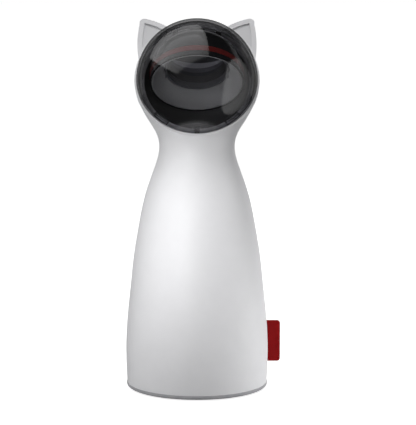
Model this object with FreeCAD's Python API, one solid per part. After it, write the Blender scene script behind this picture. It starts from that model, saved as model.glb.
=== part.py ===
import FreeCAD, Part
import math
import os

# Automatic cat laser toy: a round tower with a ball head, two cat ears and a smoke dome.
# Behind the dome a fixed laser points up at a slowly turning mirror, which throws the dot forward.
# Millimetres, +Z up, front is -Y, origin on the floor at the centre of the round base.

V = FreeCAD.Vector
X_AXIS = V(1, 0, 0)
Y_AXIS = V(0, 1, 0)
Z_AXIS = V(0, 0, 1)

# ---- clearances ----
SEAT = 0.1            # gap between two parts that seat on each other
SLIP = 0.25           # gap round a part that slides or lifts out
RUN = 0.05            # radial clearance of a shaft in its bore
TURN = 0.5            # radial gap round the turning mirror carrier
BACKLASH = 0.14       # play between gear flanks

# ---- housing ----
WALL = 2.2            # shell wall
BAND_R = 42.6         # base band, the widest ring at the floor
BAND_TOP = 3.4        # top of the base band, where the shells start
# height above the floor and how far the tower's side lies inside the band
TOWER_SIDE = ((BAND_TOP, 0.3), (16.0, -0.2), (47.0, 1.0), (71.4, 3.5), (95.8, 7.0), (114.0, 10.6))
# drop below the head's centre and radius of the waist and the flare above it
NECK_SIDE = ((55.0, 26.1), (41.0, 22.6), (34.2, 23.7), (27.0, 27.4))
HEAD_R = 37.2         # white head ball
HEAD_Z = 187.0        # height of the head's centre
HEAD_FORWARD = 5.0    # head's centre in front of the tower's axis
HEAD_ANGLES = (-32, -22, -12, -4, 0)   # sections that carry the tower into the ball
LEAN_START = 33.0     # drop below the head's centre where the neck starts to lean forward
LEAN_END = 19.0       # drop where it has reached the head's axis
FACE_ELEVATION = 32.0  # the round face looks up by this angle
SEAM_ANGLE = 120.0    # where the surface of the tower closes, clear of every cut

# ---- ears, in the plane of the face: angle above the right, then distance outside the ball ----
EAR_FOOT = (19.23, -0.77)
EAR_SIDE = (37.53, 7.94)
EAR_SHOULDER = (48.86, 15.39)
EAR_TIP = (51.21, 17.07)
EAR_TOP = (53.99, 16.21)
EAR_BROW = (59.06, 10.84)
EAR_ROOT = (67.50, 0.68)
EAR_INSIDE = (41.99, -10.29)
EAR_FRONT = 4.0       # front of the ear behind the face plane
EAR_DEPTH = 13.0      # the ear tapers to its back over this depth
EAR_BACK_SCALE = 0.3  # outline of the ear's back against its front
EAR_RIM = 3.0         # raised rim round the hollow of the ear
EAR_HOLLOW = 1.2      # depth of that hollow

# ---- base ----
BAND_Z = 0.9          # underside of the base cover above the floor
BAND_FILLET = 1.8
SPIGOT_HEIGHT = 5.6   # spigot of the cover inside the shells
SPIGOT_WALL = 2.0
PLATE_ROOT = 1.0      # how deep spigot and bosses start in the plate
FOOT_INSET = 5.6      # outer edge of the rubber ring inside the band
FOOT_WIDTH = 7.0
PAD_THICK = 1.45      # rubber foot and pad, floor to groove
PAD_R = 15.0
DOOR_LEDGE = 2.0      # rim of the battery door round its step
DOOR_STEP = 1.7       # height of that step
SCOOP = (1.0, 4.0, 2.0)   # half width, half length and height of a finger scoop
BASE_SCREW_ANGLES = (45, 135, 225, 315)
BOSS_R = 3.2
BOSS_HEIGHT = 9.0     # shell boss above the spigot
BOSS_ROOF = 2.0       # closed end of a boss
BOSS_WEB = 0.8        # half the thickness of its web
SCREW_R = 1.2
SCREW_HEAD_R = 2.4
SCREW_HEAD = 1.0
SCREW_SPARE = 2.0     # empty end of a screw's hole
SCREW_ROOM = 0.6      # plastic round a screw head

# ---- batteries ----
CELL_R = 7.25
CELL_LENGTH = 50.0
CELL_NUB_R = 2.7
CELL_NUB = 1.0
CELL_PITCH = 7.4      # cell axis from the tower's axis, along X and along Y
CONTACT_R = 5.5
CONTACT_THICK = 0.4
CONTACT_BUMP = 0.95
CONE_FOOT_R = 3.3     # raised cone of a contact
CONE_TIP_R = 1.4
BOX_WALL = 1.6
BOX_ROOF = 2.0
BOX_FOOT_HEIGHT = 2.6   # cell bores start this far above the base cover
BOX_FLANGE = 1.0      # the flange stands this much above the start of the bores
BOX_SCREW_ANGLES = (90, 210, 330)
BOX_SCREW_BITE = 1.4

# ---- electronics, on the rear wall ----
BOARD_INSET = 8.4     # board's front inside the wall at the button
BOARD_THICK = 1.6
BOARD_WIDTH = 24.0
BOARD_BELOW = 8.0     # board below the socket
BOARD_ABOVE = 10.0    # board above the button
CHIP_HALF = 4.0
CHIP_THICK = 1.5
BOARD_SCREW_SIDE = 3.0  # screw from the board's side edge
BOARD_SCREW_INSET = 4.0
BOARD_SCREW_R = 0.9
BOARD_SCREW_BITE = 1.6  # how far a board screw goes into its boss
BOARD_BOSS_R = 2.2
BOARD_SCREW_HEAD = 0.9
USB_Z = 70.0
USB_WIDTH = 8.9
USB_HEIGHT = 3.2
USB_DEPTH = 6.9
USB_METAL = 0.3       # sheet of the socket's shell
USB_BACK = 1.2        # closed rear end of that shell
USB_ROUND = 0.05      # flat left on the socket's rounded ends
TONGUE_WIDTH = 6.6
TONGUE_THICK = 0.7
TONGUE_INSET = 0.8    # tongue's end inside the opening
BUTTON_Z = 90.0
BUTTON_R = 4.1
BUTTON_FLANGE_R = 5.0
BUTTON_FLANGE = 0.7
BUTTON_TRAVEL = 0.9
BUTTON_PROUD = 0.9    # cap beyond the shell at rest
BUTTON_FILLET = 1.0
SWITCH_SIZE = 6.0
SWITCH_BODY = 1.5
SWITCH_STEM_R = 1.6
SWITCH_STEM = 0.4

# ---- side tag ----
TAG_LOW = 15.5
TAG_HIGH = 40.5
TAG_PROUD = 7.7       # tag beyond the base band
TAG_ROOT = 1.5        # blade inside the shell's wall
TAG_THICK = 1.4
TAG_CORNER = 1.8
TAG_BORDER = 1.5      # raised border of the blade
TAG_FIELD = 0.2       # how deep the field lies inside the border
TAG_ANCHOR = 1.2      # thickness of the strip inside the shell
TAG_ANCHOR_HALF = 1.9

# ---- face: dome, bezel and chamber, measured from the face plane ----
DOME_INSET = 1.2      # dome inside the head ball, a narrow white step
DOME_WALL = 1.6
BEZEL_TOP = 0.4       # outer edge of the cone behind the face plane
BEZEL_WIDTH = 3.0     # bezel across, seen from the front
BEZEL_LAND = 0.4      # flat at the cone's outer edge
WINDOW_DEPTH = 3.0
BEZEL_BACK = 4.2
HOOK_ANGLES = (22.5, 67.5, 112.5, 157.5, 270.0)
HOOK_WIDTH = 3.0
HOOK_THICK = 0.9
HOOK_LENGTH = 3.0
HOOK_ROOT = 0.2       # how far hooks and tabs run into the dome's wall
HOOK_RISE = 1.0       # and how far up the wall
TAB_ANGLES = (231.0, 309.0)
TAB_HALF = 8.0        # half of a grip tab, degrees
TAB_STEP = 0.6        # tab's inner edge from the window
TAB_DEPTH = 2.4
LINER_GAP = 0.5       # chamber liner to the shell's inside
LINER_WALL = 1.2

# ---- barrel: its mouth looks forward and down ----
BARREL_DOWN = 48.6
BARREL_DROP = 2.34    # its axis passes this far below the head's centre
BARREL_BACK_ROOM = 8.4  # its back to the liner, along the axis
BARREL_GAP = 5.1      # its radius inside the liner's
BARREL_WALL = 1.8
BARREL_DEPTH = 26.0
BELLY_IN = 2.6        # middle of the rounded taper: inside the rim
BELLY_UP = 9.0        # and in front of the back
BACK_INSET = 1.5      # radius of the back against the mirror carrier's
STRIPE_TOP = 2.7
STRIPE_END = 6.4
STRIPE_GROOVE = 0.5
STRIPE_PROUD = 0.15
STRIPE_SHADOW = 0.2   # the taper starts this far inside the rim
BOWL_INSET = 1.2      # bowl's edge inside the barrel's rim
BOWL_DEPTH = 9.3
BOWL_CURVE = (3.2, 3.8)   # middle of the dish: inside its edge, and in front of its end
BOWL_LIP = 0.8
BOWL_WALL = 1.1
POST_INSET = 3.4      # posts that carry the barrel on the liner, inside its back's edge
POST_R = 2.5
STAKE_R = 1.0
POST_ANGLES = (0, 180, 270)

# ---- turning mirror ----
MIRROR_INSET = 12.6   # mirror's radius inside the barrel's
CARRIER_WALL = 0.9
CARRIER_FLOOR_THICK = 1.2
CARRIER_CHAMFER = 1.6
FINGER_TOP = 4.0      # front end of the two grip fingers
FINGER_WIDTH = 1.0
GLASS_THICK = 1.1
GLASS_BEHIND = 0.5    # glass behind the pivot
FRAME_WALL = 1.8
FRAME_PLAY = 0.6      # frame to carrier wall
FRAME_AHEAD = 3.2     # frame's front edge ahead of the pivot
FRAME_BEHIND = 2.3    # and its back behind it
FRAME_TAPER = 2.2
FRAME_EDGE = 0.3      # flat of the frame's front edge
PIVOT_ABOVE = 4.4     # pivot in front of the carrier's floor
PIVOT_SHOULDER = 1.0
PIVOT_R = 0.8
PIN_BITE = 1.0        # how far a pivot pin reaches into the mirror frame
REST_TILT = 1.5       # mirror tilt in its first click position, degrees

# ---- mirror drive ----
MODULE = 0.6
RING_TEETH = 36
PINION_TEETH = 12
PRESSURE_ANGLE = 20.0
ADDENDUM = 0.8        # tooth heads and roots in modules
DEDENDUM = 1.15
RING_ADDENDUM = 0.85
RING_DEDENDUM = 1.1
RING_WALL = 1.8
GEAR_DEPTH = 2.5      # width of the ring gear
GEAR_GAP = 0.2        # ring gear to the barrel's back wall
GEAR_ROOT = 0.6       # how far the ring gear runs into the carrier's floor
PINION_WIDTH = 1.9
AXLE_R = 1.5
AXLE_END = 0.5        # axle beyond its clip
HUB_R = 2.6
HUB_PLAY = 0.6        # hub to the carrier's floor
CLIP_R = 3.0
CLIP_THICK = 0.6
CLIP_SLOT = 1.0       # half of the clip's opening
MOTOR_R = 6.0
MOTOR_LENGTH = 5.4
MOTOR_BOSS_R = 2.4
MOTOR_SHAFT_R = 0.75
SHAFT_ROOT = 1.5      # bottom of the shaft above the can's end
MOTOR_EAR = 8.4       # screw to motor axis
MOTOR_EAR_HALF = 2.0
MOTOR_EAR_THICK = 0.8
MOTOR_SCREW_R = 0.8
MOTOR_SCREW_HEAD_R = 1.5
MOTOR_SCREW_HEAD = 0.8
MOTOR_SCREW_LENGTH = 2.8
MOTOR_PILOT_SKIN = 0.4  # back wall left under a motor screw's hole

# ---- laser ----
LASER_R = 4.0
LASER_LENGTH = 22.0
LASER_RISE = 0.5      # laser's front above the lowest point of the liner
LENS_R = 2.5
LENS_THICK = 1.0
LENS_SUNK = 0.2
HOLDER_WALL = 2.0
HOLDER_LENGTH = 16.0
HOLDER_TOP = 6.0      # the sleeve reaches this far past the laser, up to the liner
BEAM_HOLE_R = 3.2
GRUB_R = 1.0
GRUB_HEIGHT = 4.0     # grub screw above the sleeve's lower end

# ---- values that follow from the driving ones ----
FAR = 300.0           # beyond every part of the toy
THROUGH = 1.0         # how far a cutting body passes the face it cuts
TOWER = (tuple((z, BAND_R - inset) for z, inset in TOWER_SIDE)
         + tuple((HEAD_Z - drop, r) for drop, r in NECK_SIDE))
HEAD = V(0, -HEAD_FORWARD, HEAD_Z)
FACE = FreeCAD.Placement(HEAD, FreeCAD.Rotation(X_AXIS, 90 - FACE_ELEVATION))

FOOT_OUTER = BAND_R - FOOT_INSET
FOOT_INNER = FOOT_OUTER - FOOT_WIDTH
BASE_SCREW_RING = (FOOT_OUTER + FOOT_INNER) / 2
SPIGOT_TOP = BAND_TOP + SPIGOT_HEIGHT
BOSS_TOP = SPIGOT_TOP + BOSS_HEIGHT
CELL_REACH = CELL_PITCH * math.sqrt(2) + CELL_R
DOOR_STEP_R = CELL_REACH + SEAT
DOOR_R = DOOR_STEP_R + DOOR_LEDGE
DOOR_TOP = BAND_TOP - SEAT
DOOR_STEP_TOP = DOOR_TOP + DOOR_STEP
BOX_R = CELL_REACH + SEAT + BOX_WALL
BOX_FOOT = BAND_TOP + BOX_FOOT_HEIGHT
BOX_FLANGE_TOP = BOX_FOOT + BOX_FLANGE
BOX_SCREW_RING = BOX_R + SCREW_ROOM + SCREW_HEAD_R
BOX_FLANGE_R = BOX_SCREW_RING + SCREW_HEAD_R + SCREW_ROOM
CELL_LOW = DOOR_STEP_TOP + CONTACT_THICK + CONTACT_BUMP + SEAT
CELL_TOP = CELL_LOW + CELL_LENGTH + CELL_NUB
BOX_CEILING = CELL_TOP + CONTACT_BUMP + CONTACT_THICK + 2 * SEAT
BOARD_LOW = USB_Z - BOARD_BELOW
BOARD_HIGH = BUTTON_Z + BOARD_ABOVE
BOARD_SCREW_X = BOARD_WIDTH / 2 - BOARD_SCREW_SIDE
TAG_REACH = BAND_R + TAG_PROUD

HEAD_INNER = HEAD_R - WALL
LINER_R = HEAD_INNER - LINER_GAP
LINER_INNER = LINER_R - LINER_WALL
DOME_R = HEAD_R - DOME_INSET
BEZEL_R = DOME_R - DOME_WALL - SEAT
WINDOW_R = BEZEL_R - BEZEL_WIDTH
HOOK_INNER = BEZEL_R - HOOK_THICK
HOOK_OUTER = DOME_R - DOME_WALL + HOOK_ROOT
TAB_INNER = WINDOW_R + TAB_STEP

BARREL_R = LINER_INNER - BARREL_GAP
BARREL_TURN = FreeCAD.Rotation(X_AXIS, 90 + BARREL_DOWN)
MOUTH_AHEAD = BARREL_DEPTH - (LINER_INNER - BARREL_BACK_ROOM)
MOUTH = HEAD + BARREL_TURN.multVec(V(0, -BARREL_DROP, MOUTH_AHEAD))
BARREL = FreeCAD.Placement(MOUTH, BARREL_TURN)
BACK_WALL = BARREL_DEPTH - BARREL_WALL
BARREL_BELLY = (BARREL_R - BELLY_IN, BARREL_DEPTH - BELLY_UP)
BELLY_SLANT = math.radians(28)   # slope of the wall there
BOWL_R = BARREL_R - BOWL_INSET
BOWL_BELLY = (BOWL_R - BOWL_CURVE[0], BOWL_DEPTH - BOWL_CURVE[1])

CARRIER_BACK = BACK_WALL - GEAR_GAP - GEAR_DEPTH
CARRIER_FLOOR = CARRIER_BACK - CARRIER_FLOOR_THICK
CARRIER_FRONT = BOWL_DEPTH + SEAT
PIVOT_DEPTH = CARRIER_FLOOR - PIVOT_ABOVE
FRAME_FRONT = PIVOT_DEPTH - FRAME_AHEAD
FRAME_BACK = PIVOT_DEPTH + FRAME_BEHIND
GLASS_DEPTH = PIVOT_DEPTH + GLASS_BEHIND
GLASS_R = BARREL_R - MIRROR_INSET
FRAME_R = GLASS_R + FRAME_WALL
CARRIER_R = FRAME_R + FRAME_PLAY + CARRIER_WALL
BARREL_BACK_R = CARRIER_R - BACK_INSET
POST_RING = BARREL_BACK_R - POST_INSET
RING_PITCH_R = MODULE * RING_TEETH / 2
PINION_PITCH_R = MODULE * PINION_TEETH / 2
PINION_OFFSET = RING_PITCH_R - PINION_PITCH_R
RING_R = RING_PITCH_R + MODULE * RING_DEDENDUM + RING_WALL
LASER_Y = BARREL.multVec(V(0, 0, -GLASS_DEPTH)).y
LASER_TOP = HEAD_Z - LINER_R + LASER_RISE
HOLDER_LOW = LASER_TOP - HOLDER_LENGTH


def tower_radius(height):
    """Outer radius of the tower between two of its sections."""
    for (low, low_r), (high, high_r) in zip(TOWER, TOWER[1:]):
        if low <= height <= high:
            return low_r + (high_r - low_r) * (height - low) / (high - low)
    return TOWER[-1][1]


BOARD_FRONT = tower_radius(BUTTON_Z) - BOARD_INSET
BOARD_BACK = BOARD_FRONT + BOARD_THICK


# ---- helpers ----
def cylinder(radius, low, high, x=0.0, y=0.0):
    return Part.makeCylinder(radius, high - low, V(x, y, low))


def ring(outer, inner, low, high):
    return cylinder(outer, low, high).cut(cylinder(inner, low, high))


def box(low, high):
    size = V(*high) - V(*low)
    return Part.makeBox(size.x, size.y, size.z, V(*low))


def revolved(points, depth_sign=1.0):
    """Solid turned about Z from (radius, height) points; a point of four numbers is an arc's
    middle and end."""
    def at(radius, height):
        return V(radius, 0, depth_sign * height)
    edges = []
    here = at(*points[0][:2])
    for point in points[1:] + points[:1]:
        end = at(*point[-2:])
        if len(point) == 4:
            edges.append(Part.Arc(here, at(*point[:2]), end).toShape())
        elif not here.isEqual(end, 1e-7):
            edges.append(Part.LineSegment(here, end).toShape())
        here = end
    face = Part.Face(Part.Wire(edges))
    return face.revolve(V(0, 0, 0), Z_AXIS, 360)


def placed(shape, placement):
    shape.Placement = placement.multiply(shape.Placement)
    return shape


def on_face(shape):
    return placed(shape, FACE)


def in_barrel(shape):
    return placed(shape, BARREL)


def turned(shape, degrees):
    copy = shape.copy()
    copy.rotate(V(0, 0, 0), Z_AXIS, degrees)
    return copy


def lying(shape, x, z):
    """Turn a solid that stands on Z so that it points to the rear, at a place on the rear wall."""
    shape.rotate(V(0, 0, 0), X_AXIS, -90)
    shape.translate(V(x, 0, z))
    return shape


def group(solids):
    return Part.makeCompound(solids)


def fused(solids):
    shape = solids[0].fuse(solids[1:]) if len(solids) > 1 else solids[0]
    return shape.removeSplitter()


def sphere(radius):
    return Part.makeSphere(radius, HEAD)


def lean_at(height):
    """How far forward the neck has leaned at a height, along a smooth S curve."""
    part = (height - HEAD_Z + LEAN_START) / (LEAN_START - LEAN_END)
    part = min(1.0, max(0.0, part))
    return HEAD_FORWARD * part * part * (3 - 2 * part)


def housing_form(inset):
    """The whole housing as one solid, made smaller all round by an inset."""
    sections = [(z, r - inset, lean_at(z)) for z, r in TOWER]
    for angle in HEAD_ANGLES:
        rise = HEAD_R * math.sin(math.radians(angle))
        sections.append((HEAD_Z + rise, math.sqrt((HEAD_R - inset) ** 2 - rise ** 2), HEAD_FORWARD))
    wires = []
    for z, radius, forward in sections:
        circle = Part.makeCircle(radius, V(0, -forward, z))
        circle.rotate(V(0, -forward, z), Z_AXIS, SEAM_ANGLE)
        wires.append(Part.Wire(circle))
    tower = Part.makeLoft(wires, True, False)
    crown = Part.makeSphere(HEAD_R - inset, HEAD, Z_AXIS, 0, 90, 360)
    return tower.fuse(crown)


def beyond_face(depth=0.0):
    """Everything in front of a plane that lies a depth behind the face plane."""
    return on_face(box((-FAR, -FAR, -depth), (FAR, FAR, FAR)))


def rear_half():
    return box((-FAR, 0, -FAR), (FAR, FAR, FAR))


# ---- housing ----
def round_ball(point):
    """Place in the face plane from an angle and a distance outside the ball."""
    angle = math.radians(point[0])
    radius = HEAD_R + point[1]
    return V(radius * math.cos(angle), radius * math.sin(angle), 0)


def ear_outline(scale, inset=0.0):
    """Closed outline of the right ear in the face plane, scaled about its hidden inner corner."""
    centre = round_ball(EAR_INSIDE)

    def at(point):
        return centre + (round_ball(point) - centre) * scale
    edges = [Part.Arc(at(EAR_FOOT), at(EAR_SIDE), at(EAR_SHOULDER)).toShape(),
             Part.Arc(at(EAR_SHOULDER), at(EAR_TIP), at(EAR_TOP)).toShape(),
             Part.Arc(at(EAR_TOP), at(EAR_BROW), at(EAR_ROOT)).toShape(),
             Part.LineSegment(at(EAR_ROOT), at(EAR_INSIDE)).toShape(),
             Part.LineSegment(at(EAR_INSIDE), at(EAR_FOOT)).toShape()]
    wire = Part.Wire(edges)
    return wire.makeOffset2D(-inset) if inset else wire


def ear_solid():
    """One cat ear: a lofted wedge with a shallow hollow in its front."""
    front = ear_outline(1.0)
    front.translate(V(0, 0, -EAR_FRONT))
    back = ear_outline(EAR_BACK_SCALE)
    back.translate(V(0, 0, -EAR_FRONT - EAR_DEPTH))
    ear = Part.makeLoft([front, back], True, True)
    hollow = Part.Face(ear_outline(1.0, EAR_RIM)).extrude(V(0, 0, EAR_HOLLOW))
    hollow.translate(V(0, 0, -EAR_FRONT - EAR_HOLLOW))
    hollow = hollow.cut(cylinder(HEAD_R + EAR_RIM, -FAR, FAR))
    return ear.cut(hollow)


def housing_shell():
    """Both shells together: outer form and ears, hollowed and cut off at the face."""
    right_ear = ear_solid()
    left_ear = right_ear.mirror(V(0, 0, 0), X_AXIS)
    form = housing_form(0.0).fuse([on_face(right_ear), on_face(left_ear)])
    return form.cut(housing_form(WALL)).cut(beyond_face())


def screw_boss(angle):
    """Base screw boss inside a shell, held to the wall by a web."""
    foot = SPIGOT_TOP + SEAT
    boss = cylinder(BOSS_R, foot, BOSS_TOP, BASE_SCREW_RING)
    web = box((BASE_SCREW_RING, -BOSS_WEB, foot), (BAND_R, BOSS_WEB, BOSS_TOP))
    hole = cylinder(SCREW_R + RUN, foot, BOSS_TOP - BOSS_ROOF, BASE_SCREW_RING)
    return turned(boss.fuse(web).cut(hole), angle)


def tag_slot():
    half = TAG_THICK / 2 + RUN
    return box((BASE_SCREW_RING, -half, TAG_LOW - SEAT), (FAR, half, TAG_HIGH + SEAT))


def board_boss(x, z):
    return lying(cylinder(BOARD_BOSS_R, BOARD_BACK, BAND_R), x, z)


def board_pilot(x, z):
    end = BOARD_BACK + BOARD_SCREW_BITE + SEAT
    return lying(cylinder(BOARD_SCREW_R + RUN, BOARD_BACK, end), x, z)


def board_screw_places():
    low = BOARD_LOW + BOARD_SCREW_INSET
    high = BOARD_HIGH - BOARD_SCREW_INSET
    return [(x, z) for x in (-BOARD_SCREW_X, BOARD_SCREW_X) for z in (low, high)]


def front_shell():
    shell = housing_shell().cut(rear_half())
    room = housing_form(WALL / 2)
    bosses = [screw_boss(a).common(room) for a in BASE_SCREW_ANGLES if a > 180]
    return fused([shell] + bosses).cut(tag_slot())


def rear_shell():
    """Rear half with the ears, the button hole, the socket opening and the board bosses."""
    shell = housing_shell().common(rear_half())
    room = housing_form(WALL / 2)
    bosses = [screw_boss(a).common(room) for a in BASE_SCREW_ANGLES if a < 180]
    bosses += [board_boss(x, z).common(room) for x, z in board_screw_places()]
    shell = fused([shell] + bosses)
    button_hole = lying(cylinder(BUTTON_R + SLIP, BOARD_FRONT, FAR), 0, BUTTON_Z)
    half_w = USB_WIDTH / 2 + SLIP
    half_h = USB_HEIGHT / 2 + SLIP
    socket_hole = box((-half_w, BOARD_FRONT, USB_Z - half_h), (half_w, FAR, USB_Z + half_h))
    pilots = [board_pilot(x, z) for x, z in board_screw_places()]
    for opening in [button_hole, socket_hole, tag_slot()] + pilots:
        shell = shell.cut(opening)
    return shell


def side_tag():
    """Soft tag with a raised border, clamped in the side seam by a strip behind the wall."""
    half = TAG_THICK / 2
    blade = box((BAND_R - WALL - TAG_ROOT, -half, TAG_LOW), (TAG_REACH, half, TAG_HIGH))
    corners = [e for e in blade.Edges if e.CenterOfMass.x > TAG_REACH - TAG_FIELD
               and abs(e.CenterOfMass.y) < TAG_FIELD]
    blade = blade.makeFillet(TAG_CORNER, corners)
    for face_y in (-half, half):
        blade = blade.cut(box((BAND_R - WALL / 2, face_y - TAG_FIELD, TAG_LOW + TAG_BORDER),
                              (TAG_REACH - TAG_BORDER, face_y + TAG_FIELD, TAG_HIGH - TAG_BORDER)))
    inner = tower_radius(TAG_HIGH) - WALL - SLIP
    strip = box((inner - TAG_ANCHOR, -TAG_ANCHOR_HALF, TAG_LOW), (inner, TAG_ANCHOR_HALF, TAG_HIGH))
    return blade.fuse(strip).removeSplitter()


# ---- base ----
def base_cover():
    plate = ring(BAND_R, DOOR_R + SLIP, BAND_Z, BAND_TOP - SEAT / 2)
    rim = [e for e in plate.Edges if e.CenterOfMass.z < BAND_Z + SEAT
           and e.Length > 2 * math.pi * FOOT_OUTER]
    plate = plate.makeFillet(BAND_FILLET, rim)
    spigot_r = TOWER[0][1] - WALL - SEAT
    root = BAND_TOP - PLATE_ROOT
    parts = [plate, ring(spigot_r, spigot_r - SPIGOT_WALL, root, SPIGOT_TOP)]
    for angle in BASE_SCREW_ANGLES:
        parts.append(turned(cylinder(BOSS_R, root, SPIGOT_TOP, BASE_SCREW_RING), angle))
    cover = fused(parts)
    cover = cover.cut(ring(FOOT_OUTER + SEAT, FOOT_INNER - SEAT, 0, PAD_THICK + SEAT / 2))
    for angle in BASE_SCREW_ANGLES:
        head = cylinder(SCREW_HEAD_R + SEAT, BAND_Z, PAD_THICK + SCREW_HEAD + 2 * SEAT, BASE_SCREW_RING)
        hole = cylinder(SCREW_R + SEAT, BAND_Z, SPIGOT_TOP + THROUGH, BASE_SCREW_RING)
        cover = cover.cut(turned(head.fuse(hole), angle))
    pilot_low = BAND_TOP - BOX_SCREW_BITE - 2 * SEAT
    pilot = cylinder(SCREW_R + RUN, pilot_low, BAND_TOP + THROUGH, BOX_SCREW_RING)
    for angle in BOX_SCREW_ANGLES:
        cover = cover.cut(turned(pilot, angle))
    return cover


def pan_screw(shank_r, head_r, head, low, length, x=0.0, y=0.0):
    """Screw standing head down: head from low upwards, then the shank."""
    return cylinder(head_r, low, low + head, x, y).fuse(cylinder(shank_r, low + head, low + length, x, y))


def base_screws():
    low = PAD_THICK + SEAT
    length = BOSS_TOP - BOSS_ROOF - SCREW_SPARE - low
    screw = pan_screw(SCREW_R, SCREW_HEAD_R, SCREW_HEAD, low, length, BASE_SCREW_RING)
    return group([turned(screw, a) for a in BASE_SCREW_ANGLES])


def foot_ring():
    return ring(FOOT_OUTER, FOOT_INNER, 0, PAD_THICK)


def battery_door():
    """Round snap door with a recess for its pad and two finger scoops."""
    door = cylinder(DOOR_R, BAND_Z, DOOR_TOP).fuse(cylinder(DOOR_STEP_R, DOOR_TOP, DOOR_STEP_TOP))
    door = door.cut(cylinder(PAD_R + SEAT, 0, PAD_THICK + SEAT / 2))
    half_w, half_l, top = SCOOP
    for x in (-(PAD_R + DOOR_R) / 2, (PAD_R + DOOR_R) / 2):
        door = door.cut(box((x - half_w, -half_l, 0), (x + half_w, half_l, top)))
    return door.removeSplitter()


def door_pad():
    return cylinder(PAD_R, 0, PAD_THICK)


def cell_places():
    return [(sx * CELL_PITCH, sy * CELL_PITCH, sx * sy) for sx in (-1, 1) for sy in (-1, 1)]


def contact(x, y, up):
    """Stamped spring contact: a disc with a raised cone towards the cell."""
    cone = Part.makeCone(CONE_FOOT_R, CONE_TIP_R, CONTACT_BUMP)
    disc = cylinder(CONTACT_R, -CONTACT_THICK, 0).fuse(cone)
    if not up:
        disc.rotate(V(0, 0, 0), X_AXIS, 180)
    height = DOOR_STEP_TOP + CONTACT_THICK if up else CELL_TOP + CONTACT_BUMP + SEAT
    disc.translate(V(x, y, height))
    return disc


def door_contacts():
    return group([contact(x, y, True) for x, y, _ in cell_places()])


def top_contacts():
    return group([contact(x, y, False) for x, y, _ in cell_places()])


def battery_cells():
    """Four AA cells; neighbours stand opposite ways up."""
    cells = []
    for x, y, way in cell_places():
        low = CELL_LOW if way > 0 else CELL_LOW + CELL_NUB
        nub_low = low + CELL_LENGTH if way > 0 else low - CELL_NUB
        cell = cylinder(CELL_R, low, low + CELL_LENGTH, x, y)
        cells.append(cell.fuse(cylinder(CELL_NUB_R, nub_low, nub_low + CELL_NUB, x, y)))
    return group(cells)


def battery_box():
    """Clover of four cell bores in a round block, with a flange on the base cover."""
    block = cylinder(BOX_R, BOX_FOOT, BOX_CEILING + BOX_ROOF)
    flange = cylinder(BOX_FLANGE_R, BAND_TOP, BOX_FLANGE_TOP)
    shape = block.fuse(flange).cut(cylinder(DOOR_STEP_R + SLIP, 0, BOX_FOOT))
    for x, y, _ in cell_places():
        shape = shape.cut(cylinder(CELL_R + SEAT, BOX_FOOT - THROUGH, BOX_CEILING, x, y))
    hole = cylinder(SCREW_R + SEAT, 0, BOX_FLANGE_TOP + THROUGH, BOX_SCREW_RING)
    for angle in BOX_SCREW_ANGLES:
        shape = shape.cut(turned(hole, angle))
    return shape.removeSplitter()


def box_screws():
    """Short screws, heads up, from the battery box into the base cover."""
    top = BOX_FLANGE_TOP + SEAT
    shank = cylinder(SCREW_R, BAND_TOP - BOX_SCREW_BITE, top, BOX_SCREW_RING)
    head = cylinder(SCREW_HEAD_R, top, top + SCREW_HEAD, BOX_SCREW_RING)
    return group([turned(shank.fuse(head), a) for a in BOX_SCREW_ANGLES])


# ---- electronics ----
def circuit_board():
    half = BOARD_WIDTH / 2
    board = box((-half, BOARD_FRONT, BOARD_LOW), (half, BOARD_BACK - RUN, BOARD_HIGH))
    chip_z = (USB_Z + BUTTON_Z) / 2
    chip = box((-CHIP_HALF, BOARD_FRONT - CHIP_THICK, chip_z - CHIP_HALF),
               (CHIP_HALF, BOARD_FRONT, chip_z + CHIP_HALF))
    for x, z in board_screw_places():
        board = board.cut(lying(cylinder(BOARD_SCREW_R + SEAT, BOARD_FRONT - THROUGH, FAR), x, z))
    return board.fuse(chip)


def board_screws():
    screws = []
    for x, z in board_screw_places():
        length = BOARD_SCREW_HEAD + BOARD_THICK + BOARD_SCREW_BITE
        screw = pan_screw(BOARD_SCREW_R, 2 * BOARD_SCREW_R, BOARD_SCREW_HEAD,
                          BOARD_FRONT - BOARD_SCREW_HEAD, length)
        screws.append(lying(screw, x, z))
    return group(screws)


def usb_socket():
    """Flat metal socket with rounded ends, open to the rear, a tongue inside."""
    end = BOARD_BACK + USB_DEPTH

    def slab(margin, low, high):
        half_w = USB_WIDTH / 2 - margin
        half_h = USB_HEIGHT / 2 - margin
        block = box((-half_w, low, -half_h), (half_w, high, half_h))
        sides = [e for e in block.Edges if abs(e.CenterOfMass.x) > half_w - SEAT
                 and low + SEAT < e.CenterOfMass.y < high - SEAT]
        return block.makeFillet(half_h - USB_ROUND, sides)
    hollow = slab(USB_METAL, BOARD_BACK + USB_BACK, end + THROUGH)
    tongue = box((-TONGUE_WIDTH / 2, BOARD_BACK + USB_BACK - SEAT, -TONGUE_THICK / 2),
                 (TONGUE_WIDTH / 2, end - TONGUE_INSET, TONGUE_THICK / 2))
    socket = slab(0.0, BOARD_BACK, end).cut(hollow).fuse(tongue)
    socket.translate(V(0, 0, USB_Z))
    return socket


def tact_switch():
    half = SWITCH_SIZE / 2
    top = BOARD_BACK + SWITCH_BODY
    body = box((-half, BOARD_BACK, BUTTON_Z - half), (half, top, BUTTON_Z + half))
    stem = cylinder(SWITCH_STEM_R, top, top + SWITCH_STEM)
    return body.fuse(lying(stem, 0, BUTTON_Z))


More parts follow.
